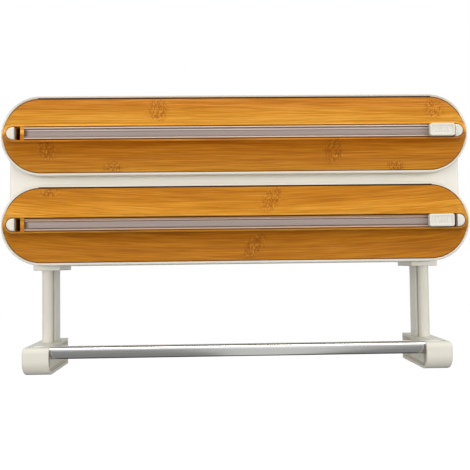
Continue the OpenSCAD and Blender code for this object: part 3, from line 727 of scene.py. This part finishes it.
# %% Finished pieces
def finish_piece(piece, material, body, node):
    """Smooths a piece, gives it its finish and lets it stand for a solid."""
    only(piece)
    bpy.ops.object.shade_smooth_by_angle(angle=SHARP_ANGLE)
    piece.data.materials.clear()
    piece.data.materials.append(material)
    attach(piece, body)
    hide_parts(node)
    print(piece.name, "stands for", node, "with", len(piece.data.polygons), "faces")


print("solids that can be replaced:", len(nodes))

# %% [markdown]
# Bamboo panels
#
# A panel is milled from a thick board: a cutter with a round nose leaves the hollow flanks, and a
# straight one cuts the groove for the track. Sandpaper then breaks every edge of the crest by about a
# quarter of a millimetre. That small round catches the light as the thin bright line above the track.

# %% Bamboo panels
CREST_EDGE = 0.25
for door, material in (("upper", upper_bamboo), ("lower", lower_bamboo)):
    node = door + "_bamboo_panel"
    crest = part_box(node)[0].y / MM
    panel = merged_copy(node, door + "_sanded_panel")
    soften(panel, lambda x, y, z: near(y, crest), CREST_EDGE)
    finish_piece(panel, material, door + "_door", node)

# %% [markdown]
# Cutter tracks
#
# The track is an extruded profile, pushed through a die and cut to length. A die can't hold a sharp
# corner, so the lips and the rail have small rounds. They make the fine light and dark lines that run
# along the groove.

# %% Cutter tracks
LIP_EDGE = 0.3
LIP_BAND = 0.3
for door, material in (("upper", upper_track), ("lower", lower_track)):
    node = door + "_cutter_track"
    lip_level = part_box(node)[0].y / MM + LIP_BAND
    track = merged_copy(node, door + "_drawn_track")
    soften(track, lambda x, y, z: y < lip_level, LIP_EDGE)
    finish_piece(track, material, door + "_door", node)

# %% [markdown]
# Blocks
#
# Several small pieces start as a cube that is pulled to a solid's size. The pull is done in the mesh and
# not on the object, so that the object stays at the frame's origin, where every piece has to be.

# %% Blocks
def sized_cube(name, low, high):
    """A cube pulled to the box between two corners, its place kept in the mesh."""
    bpy.ops.object.select_all(action="DESELECT")
    bpy.ops.mesh.primitive_cube_add(size=1.0, location=(0.0, 0.0, 0.0))
    piece = bpy.context.object
    piece.name = name
    piece.data.name = name
    bpy.ops.object.mode_set(mode="EDIT")
    bpy.ops.mesh.select_all(action="SELECT")
    bpy.ops.transform.resize(value=tuple(high - low))
    bpy.ops.transform.translate(value=tuple((low + high) / 2))
    bpy.ops.object.mode_set(mode="OBJECT")
    return piece


def joined(first, others):
    """Joins other pieces to the first one."""
    only(first)
    for other in others:
        other.select_set(True)
    bpy.ops.object.join()


print("slides to model:", [node for node in nodes if node.endswith("cutter_slide")])

# %% Fronts and corners of blocks
CORNER_STEPS = 6


def pick_front(piece):
    """Selects the largest face that looks to the front."""
    only(piece)
    mesh = piece.data
    facing = [face for face in mesh.polygons if face.normal.y < -0.99]
    front = max(facing, key=lambda face: face.area).index
    select_only(mesh.polygons, [face.index == front for face in mesh.polygons], mesh.vertices, mesh.edges)
    bpy.ops.object.mode_set(mode="EDIT")
    bpy.ops.mesh.select_mode(type="FACE")


def soften_upright(piece, width):
    """Rounds the edges of a block that run from its front to its back."""
    only(piece)
    mesh = piece.data
    places = [vertex.co for vertex in mesh.vertices]
    runs_back = [abs((places[edge.vertices[0]] - places[edge.vertices[1]]).normalized().y) > 0.99
                 for edge in mesh.edges]
    select_only(mesh.edges, runs_back, mesh.vertices, mesh.polygons)
    bpy.ops.object.mode_set(mode="EDIT")
    bpy.ops.mesh.select_mode(type="EDGE")
    bpy.ops.mesh.bevel(offset=width * MM, segments=CORNER_STEPS, profile=0.5)
    bpy.ops.object.mode_set(mode="OBJECT")


print("round corners have", CORNER_STEPS, "steps")

# %% [markdown]
# Cutter slides
#
# The slide is the one piece on each front that a hand moves. It is a small moulded block with round
# corners, a sunk field for the thumb and ribs across it for grip. The upright corners are rounded first,
# then the front edge, and then the field is set in. The ribs are small blocks with rounded edges.

# %% Cutter slides
SLIDE_CORNER = 1.7
SLIDE_EDGE = 0.6
FIELD_BORDER = 1.0
FIELD_DEPTH = 0.65
RIB_STEPS = (-2, -1, 0, 1, 2)
RIB_PITCH = 2.4
RIB_WIDTH = 0.9
RIB_HEIGHT = 4.6
RIB_DROP = 0.25
RIB_EDGE = 0.25


def slide_block(name, low, high):
    """A block with round corners and a sunk field in its front."""
    block = sized_cube(name, low, high)
    soften_upright(block, SLIDE_CORNER)
    front = low.y / MM
    soften(block, lambda x, y, z: near(y, front), SLIDE_EDGE, segments=4)
    pick_front(block)
    bpy.ops.mesh.inset(thickness=FIELD_BORDER * MM)
    bpy.ops.mesh.extrude_region_move(TRANSFORM_OT_translate={"value": (0.0, FIELD_DEPTH * MM, 0.0)})
    bpy.ops.object.mode_set(mode="OBJECT")
    return block


def grip_rib(name, middle):
    """A rib about the middle of its front, deep enough to end inside the slide."""
    half = Vector((RIB_WIDTH / 2 * MM, 0.0, RIB_HEIGHT / 2 * MM))
    back = Vector((0.0, 2 * FIELD_DEPTH * MM, 0.0))
    rib = sized_cube(name, middle - half, middle + half + back)
    front = middle.y / MM
    soften(rib, lambda x, y, z: near(y, front), RIB_EDGE)
    return rib


for door in ("upper", "lower"):
    node = door + "_cutter_slide"
    low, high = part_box(node)
    slide = slide_block(door + "_thumb_slide", low, high)
    centre = (low + high) / 2
    middles = [Vector((centre.x + step * RIB_PITCH * MM, low.y + RIB_DROP * MM, centre.z))
               for step in RIB_STEPS]
    ribs = [grip_rib("%s_rib_%d" % (door, i + 1), middle) for i, middle in enumerate(middles)]
    joined(slide, ribs)
    finish_piece(slide, slide_abs, door + "_cutter", node)

# %% [markdown]
# One track cap
#
# Each end of the groove is closed by a small pushed-in cap: half round where it follows the groove,
# straight where it meets the pocket, and domed so that no film catches on it. One cap is modelled from
# a cylinder that is cut in half, drawn out and domed. It is drawn out too far at first, so that the last
# cut leaves a clean straight end.

# %% One track cap
DOME_EDGE = 1.7
CAP_GROW = 0.15
CAP_SHORT = 0.9
CAP_SPARE = 4.0
CAP_POINTS = 64


def half_cylinder(name, radius, depth, length):
    """A cylinder along Y, cut in half across X and drawn out by a length."""
    bpy.ops.object.select_all(action="DESELECT")
    bpy.ops.mesh.primitive_cylinder_add(vertices=CAP_POINTS, radius=radius, depth=depth,
                                        location=(0.0, 0.0, 0.0))
    piece = bpy.context.object
    piece.name = name
    piece.data.name = name
    bpy.ops.object.mode_set(mode="EDIT")
    bpy.ops.mesh.select_all(action="SELECT")
    bpy.ops.transform.rotate(value=math.pi / 2, orient_axis="X", center_override=(0.0, 0.0, 0.0))
    bpy.ops.mesh.bisect(plane_co=(0.0, 0.0, 0.0), plane_no=(1.0, 0.0, 0.0), use_fill=True,
                        clear_outer=True)
    bpy.ops.mesh.extrude_region_move(TRANSFORM_OT_translate={"value": (length, 0.0, 0.0)})
    return piece


def left_cap(name, node):
    """The cap at the left end of a groove."""
    low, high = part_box(node)
    radius = (high.z - low.z) / 2 + CAP_GROW * MM
    cap = half_cylinder(name, radius, high.y - low.y, high.x - low.x - radius + CAP_SPARE * MM)
    place = (low.x + radius - CAP_GROW * MM, (low.y + high.y) / 2, (low.z + high.z) / 2)
    bpy.ops.mesh.select_all(action="SELECT")
    bpy.ops.transform.translate(value=place)
    bpy.ops.mesh.normals_make_consistent(inside=False)
    bpy.ops.object.mode_set(mode="OBJECT")
    front = low.y / MM
    soften(cap, lambda x, y, z: near(y, front), DOME_EDGE, segments=8)
    bpy.ops.object.mode_set(mode="EDIT")
    bpy.ops.mesh.select_all(action="SELECT")
    bpy.ops.mesh.bisect(plane_co=(high.x - CAP_SHORT * MM, 0.0, 0.0), plane_no=(1.0, 0.0, 0.0),
                        use_fill=True, clear_outer=True)
    bpy.ops.object.mode_set(mode="OBJECT")
    return cap


first_cap = left_cap("upper_domed_cap_left", "upper_track_cap_left")
print(first_cap.name, "has", len(first_cap.data.polygons), "faces")

# %% [markdown]
# The other caps
#
# The other three caps are copies of the first. Those at the right end are turned by half a turn, so the
# straight end looks to the pocket on both sides.

# %% The other caps
def placed_copy(piece, name, turn, shift):
    """Copies a piece, turns the copy about Y and moves it, all in its own mesh."""
    only(piece)
    bpy.ops.object.duplicate()
    copy = bpy.context.object
    copy.name = name
    copy.data.name = name
    bpy.ops.object.mode_set(mode="EDIT")
    bpy.ops.mesh.select_all(action="SELECT")
    bpy.ops.transform.rotate(value=turn, orient_axis="Y", center_override=(0.0, 0.0, 0.0))
    bpy.ops.transform.translate(value=shift)
    bpy.ops.object.mode_set(mode="OBJECT")
    return copy


def middle_of(node):
    """Middle of a solid's box."""
    low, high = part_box(node)
    return (low + high) / 2


caps = {"upper_track_cap_left": first_cap}
for door, side, turn in (("upper", "right", math.pi), ("lower", "left", 0.0), ("lower", "right", math.pi)):
    node = "%s_track_cap_%s" % (door, side)
    start = middle_of("upper_track_cap_left")
    if turn:
        start = Vector((-start.x, start.y, -start.z))
    caps[node] = placed_copy(first_cap, "%s_domed_cap_%s" % (door, side), turn, middle_of(node) - start)
for node, cap in caps.items():
    finish_piece(cap, slide_abs, node.split("_")[0] + "_door", node)

# %% [markdown]
# Shade strips in the slits
#
# The wrap leaves through a slit along the top of each door. A dark brown strip under the slit's upper edge
# stands in for the shade in the slit: it is painted shade that makes the slit read as a dark brown line.
# The strip is a long thin block with rounded edges that lies inside the slit.

# %% Shade strips in the slits
SLIT_LENGTH = 328.0
SLIT_BELOW_TOP = 1.6
SHADE_STRIP_END_GAP = 0.5
SHADE_STRIP_CLEARANCE = 0.02
SHADE_STRIP_THICK = 1.0
SHADE_STRIP_INSET = 0.1
SHADE_STRIP_BACK = 11.0
SHADE_STRIP_EDGE = 0.2


def slit_shade_strip(door):
    """The dark strip of painted shade in the slit of one door."""
    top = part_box(door + "_door_frame")[1].z
    half = (SLIT_LENGTH / 2 - SHADE_STRIP_END_GAP) * MM
    ceiling = top - (SLIT_BELOW_TOP + SHADE_STRIP_CLEARANCE) * MM
    start = Vector((-half, (RIM_FRONT + SHADE_STRIP_INSET) * MM, ceiling - SHADE_STRIP_THICK * MM))
    end = Vector((half, (RIM_FRONT + SHADE_STRIP_BACK) * MM, ceiling))
    strip = sized_cube(door + "_slit_shade_strip", start, end)
    soften(strip, lambda x, y, z: near(z, start.z / MM), SHADE_STRIP_EDGE)
    return strip


for door in ("upper", "lower"):
    strip = slit_shade_strip(door)
    # The strip's dark brown is painted shade.
    strip.data.materials.append(slit_shade_finish)
    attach(strip, door + "_door")
    print(strip.name, "has", len(strip.data.polygons), "faces")

# %% [markdown]
# Case
#
# The case is moulded in one piece with soft outer edges. The round is what makes a white piece readable
# against a white wall, because it shades from light to dark. Only the outline of the case's front gets
# it, so the test follows the straight runs and the round corners between them.

# %% Case
CASE_EDGE = 3.0
CASE_FRONT = -58.0
CASE_CORNER = 30.0
case_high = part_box("body_shell")[1] / MM


def on_case_outline(x, y, z):
    """True for points on the outer edge of the case's front."""
    past_x = abs(x) - (case_high.x - CASE_CORNER)
    past_z = abs(z) - (case_high.z - CASE_CORNER)
    if past_x > 0 and past_z > 0:
        return near(y, CASE_FRONT) and near(math.hypot(past_x, past_z), CASE_CORNER, 0.1)
    return near(y, CASE_FRONT) and (near(abs(x), case_high.x) or near(abs(z), case_high.z))


case = merged_copy("body_shell", "soft_case")
soften(case, on_case_outline, CASE_EDGE, segments=5)
finish_piece(case, case_abs, "case", "body_shell")

# %% [markdown]
# Plates and brackets
#
# The plates under the case and the brackets below them have smaller rounds, as far as their thin walls
# allow. A plate is rounded along its foot, and a bracket along its outer side.

# %% Plates and brackets
PLATE_EDGE = 0.8
BRACKET_EDGE = 2.0
for side, outside in (("left", 0), ("right", 1)):
    node = side + "_mount_plate"
    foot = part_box(node)[0].z / MM
    plate = merged_copy(node, side + "_soft_plate")
    soften(plate, lambda x, y, z: near(z, foot), PLATE_EDGE)
    finish_piece(plate, case_abs, "case", node)
    node = side + "_bracket"
    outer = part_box(node)[outside].x / MM
    bracket = merged_copy(node, side + "_soft_bracket", whole_faces=True)
    soften(bracket, lambda x, y, z: near(x, outer), BRACKET_EDGE, segments=5)
    finish_piece(bracket, white_abs, "case", node)

# %% [markdown]
# One screw of each set
#
# A set of screws comes as one node of the solid model. All screws of a set are alike, so a copy of the
# set is split up, one screw is kept to be worked on, and the places of all of them are noted.

# %% One screw of each set
def box_of(piece):
    """Lowest and highest corner of a piece's mesh."""
    places = [vertex.co for vertex in piece.data.vertices]
    low = Vector([min(place[axis] for place in places) for axis in range(3)])
    high = Vector([max(place[axis] for place in places) for axis in range(3)])
    return low, high


def loose_screws(node):
    """Splits a copy of a set of screws: returns one screw and the places of all of them."""
    only(merged_copy(node, node + "_cross"))
    bpy.ops.object.mode_set(mode="EDIT")
    bpy.ops.mesh.select_all(action="SELECT")
    bpy.ops.mesh.separate(type="LOOSE")
    bpy.ops.object.mode_set(mode="OBJECT")
    parts = sorted(bpy.context.selected_objects, key=lambda part: tuple(box_of(part)[0]))
    places = [sum(box_of(part), Vector()) / 2 for part in parts]
    bpy.ops.object.select_all(action="DESELECT")
    for part in parts[1:]:
        part.select_set(True)
    bpy.ops.object.delete()
    parts[0].name = node + "_cross"
    return parts[0], places


print("sets of screws:", [node for node in nodes if node.endswith("screws")])

# %% [markdown]
# Cross recess
#
# The screws that show from below, from behind and in the open doors have a pressed cross recess for the
# driver. A drawing on the head would be quicker, but a real recess also has a shadow. The screw is cut
# with two crossed blocks, its rim is rounded, and the other screws of the set are copies of it.

# %% Cross recess
RECESS_LONG = 3.2
RECESS_WIDE = 0.9
RECESS_DEEP = 1.0


def cross_cutter(face, axis):
    """Two crossed blocks through the middle of a screw's head."""
    blocks = []
    for long, wide in ((RECESS_LONG, RECESS_WIDE), (RECESS_WIDE, RECESS_LONG)):
        sizes = (long, 2 * RECESS_DEEP, wide) if axis == "Y" else (long, wide, 2 * RECESS_DEEP)
        half = Vector(sizes) / 2 * MM
        blocks.append(sized_cube("cross_block", face - half, face + half))
    joined(blocks[0], blocks[1:])
    return blocks[0]


def cut_away(piece, cutter):
    """Takes the shape of a cutter out of a piece and deletes the cutter."""
    only(piece)
    bpy.ops.object.modifier_add(type="BOOLEAN")
    cut = piece.modifiers[-1]
    cut.operation = "DIFFERENCE"
    cut.solver = "EXACT"
    cut.use_self = True
    cut.object = cutter
    bpy.ops.object.modifier_apply(modifier=cut.name)
    only(cutter)
    bpy.ops.object.delete()


print("recess of", RECESS_LONG, "by", RECESS_WIDE, "mm")

# %% Screws
HEAD_EDGE = 0.3


def cut_recess(screw, axis):
    """Cuts the recess into a screw's head and rounds the head's rim."""
    low, high = box_of(screw)
    face = (low + high) / 2
    if axis == "Y":
        face.y = high.y
    else:
        face.z = low.z
    cut_away(screw, cross_cutter(face, axis))
    reach = (high.x - low.x) / 2 / MM
    level = face / MM

    def on_rim(x, y, z):
        """True for points on the rim of the head."""
        across, along = (z - level.z, y - level.y) if axis == "Y" else (y - level.y, z - level.z)
        return near(math.hypot(x - level.x, across), reach, 0.05) and near(along, 0.0)

    soften(screw, on_rim, HEAD_EDGE)


for node, axis, body in (("bracket_screws", "Z", "case"), ("mount_plate_screws", "Z", "case"),
                         ("back_cover_screws", "Y", "case"), ("upper_panel_screws", "Y", "upper_door"),
                         ("lower_panel_screws", "Y", "lower_door")):
    screw, places = loose_screws(node)
    cut_recess(screw, axis)
    copies = [placed_copy(screw, node + "_copy", 0.0, place - places[0]) for place in places[1:]]
    joined(screw, copies)
    finish_piece(screw, zinc_steel, body, node)

# %% [markdown]
# Lamps
#
# The photograph has soft, low light from the front and both sides, and some light from the ceiling.
# Three large lamps and a ceiling lamp give that light, and two weak lamps brighten the outer sides of
# the posts.

# %% Lamps
FRONT_MIDDLE = (0.0, -0.05, -0.06)
bpy.context.scene.view_settings.view_transform = "Standard"


def soft_lamp(name, place, aim, width, height, power):
    """An area lamp at a place, turned to look at a point."""
    bpy.ops.object.select_all(action="DESELECT")
    bpy.ops.object.light_add(type="AREA", location=place)
    lamp = bpy.context.object
    lamp.name = name
    lamp.data.shape = "RECTANGLE"
    lamp.data.size = width
    lamp.data.size_y = height
    lamp.data.energy = power
    direction = Vector(aim) - Vector(place)
    lamp.rotation_euler = direction.to_track_quat("-Z", "Y").to_euler()


soft_lamp("ceiling_softbox", (0.0, -0.46, 1.5), (0.0, -0.05, -0.04), 1.8, 0.8, 11.6)
soft_lamp("front_softbox", (0.0, -2.1, -0.08), FRONT_MIDDLE, 1.6, 1.0, 13.2)
for sign in (-1, 1):
    soft_lamp("side_softbox", (sign * 1.5, -1.6, 0.1), FRONT_MIDDLE, 1.2, 1.2, 11.0)
    soft_lamp("side_lamp", (sign * 0.75, -0.45, -0.05), (sign * 0.165, -0.03, -0.11), 0.3, 0.4, 0.3)
print("lamps:", len(bpy.data.lights))

# %% [markdown]
# Surround and floor
#
# The surround is white only for what the camera sees, directly or in a mirror, and weaker where it lights
# a surface, so that a white background doesn't wash out the object. A floor lies below and keeps the
# shadow. It glows, again only where it is seen, so that it is nearly as white as the background.

# %% Surround
SURROUND_LIGHT = 0.55
SURROUND_SEEN = 1.0
world = bpy.data.worlds.new("white_surround")
bpy.context.scene.world = world
world.use_nodes = True
surround = world.node_tree
surround.nodes.clear()


def seen_by_eye(tree):
    """1 for what the camera sees directly, in a mirror or through glass, and 0 for light on surfaces."""
    path = add(tree, "LightPath").outputs
    seen = add(tree, "Math", {0: path["Is Camera Ray"], 1: path["Is Glossy Ray"]}, operation="MAXIMUM")
    return add(tree, "Math", {0: seen, 1: path["Is Transmission Ray"]}, operation="MAXIMUM")


seen = seen_by_eye(surround)
level = add(surround, "MapRange", {"Value": seen, "To Min": SURROUND_LIGHT, "To Max": SURROUND_SEEN})
tint = add(surround, "Mix", {0: seen, FIRST: "F9FFFA", SECOND: "FFFFFF"}, data_type="RGBA").outputs[MIXED]
glow = add(surround, "Background", {"Color": tint, "Strength": level})
add(surround, "OutputWorld", {"Surface": glow})
print("the surround lights with", SURROUND_LIGHT, "and is seen with", SURROUND_SEEN)

# %% Floor
FLOOR_SIZE = 8.0
FLOOR_HEIGHT = -0.40
FLOOR_WHITE = 0.85
bpy.ops.object.select_all(action="DESELECT")
bpy.ops.mesh.primitive_plane_add(size=FLOOR_SIZE, location=(0.0, 0.0, FLOOR_HEIGHT))
floor = bpy.context.object
floor.name = "pale_floor"
floor_material, floor_tree = new_material("pale_paper_floor")
paper = add(floor_tree, "BsdfDiffuse", {"Color": "909090"})
white = add(floor_tree, "Math", {0: seen_by_eye(floor_tree), 1: FLOOR_WHITE}, operation="MULTIPLY")
bright = add(floor_tree, "Emission", {"Color": "FFFFFF", "Strength": white})
both = add(floor_tree, "AddShader", {0: paper, 1: bright})
add(floor_tree, "OutputMaterial", {"Surface": both})
floor.data.materials.append(floor_material)
print(floor.name, "lies at", FLOOR_HEIGHT, "m")

# %% [markdown]
# Grey cards
#
# A polished rod shows the room around it. Two grey cards, one standing behind the camera and one lying
# below, are seen only in mirrors: they give the rod its darker middle with one brighter stretch, as the
# photographer's room did. The brighter stretch fans out from a point behind the wall, about where the
# camera's mirror image lies, so that both cards brighten the same part of the rod.

# %% Paper of the cards
CARD_GREY = 0.24
CARD_BRIGHTER = 0.38
FAN_START = 0.45
card_material, card_tree = new_material("grey_card_paper")
card_place = add(card_tree, "TexCoord").outputs["Object"]
card_axes = add(card_tree, "SeparateXYZ", {"Vector": card_place}).outputs
fan_depth = add(card_tree, "Math", {0: FAN_START, 1: card_axes["Y"]}, operation="SUBTRACT")
aside = add(card_tree, "Math", {0: card_axes["X"], 1: fan_depth}, operation="DIVIDE")
# Each ramp is a value, where it starts and ends, and the level at both places
CARD_RAMPS = [(aside, -0.06, 0.015, 0.0, 1.0), (aside, 0.27, 0.13, 0.0, 1.0),
              (card_axes["Z"], 0.2, 1.3, 0.0, 0.35), (card_axes["Y"], 0.12, -0.06, 0.1, 1.0)]
from_left, from_right, upwards, forwards = [
    add(card_tree, "MapRange", {"Value": value, "From Min": start, "From Max": end, "To Min": low,
                                "To Max": high}, interpolation_type="SMOOTHSTEP")
    for value, start, end, low, high in CARD_RAMPS]
stretch = add(card_tree, "Math", {0: from_left, 1: from_right}, operation="MULTIPLY")
front = add(card_tree, "Math", {0: stretch, 1: CARD_BRIGHTER, 2: CARD_GREY}, operation="MULTIPLY_ADD")
raised = add(card_tree, "Math", {0: front, 1: upwards}, operation="ADD")
card_level = add(card_tree, "Math", {0: raised, 1: forwards}, operation="MULTIPLY")
grey = add(card_tree, "Emission", {"Strength": card_level})
add(card_tree, "OutputMaterial", {"Surface": grey})
print("card levels:", CARD_GREY, "to", CARD_GREY + CARD_BRIGHTER)

# %% Grey cards
def grey_card(name, size, tilt, place):
    """A plane that is seen only in mirrors."""
    bpy.ops.object.select_all(action="DESELECT")
    bpy.ops.mesh.primitive_plane_add(size=1.0, location=(0.0, 0.0, 0.0))
    card = bpy.context.object
    card.name = name
    bpy.ops.object.mode_set(mode="EDIT")
    bpy.ops.mesh.select_all(action="SELECT")
    bpy.ops.transform.resize(value=(size[0], size[1], 1.0))
    bpy.ops.transform.rotate(value=tilt, orient_axis="X", center_override=(0.0, 0.0, 0.0))
    bpy.ops.transform.translate(value=place)
    bpy.ops.object.mode_set(mode="OBJECT")
    card.data.materials.append(card_material)
    card.visible_camera = False
    card.visible_diffuse = False
    card.visible_shadow = False
    print(card.name, "of", size, "m")


grey_card("standing_card", (4.0, 1.9), math.pi / 2, (0.0, -1.6, 0.55))
grey_card("lying_card", (4.0, 3.2), 0.0, (0.0, 0.0, -0.395))
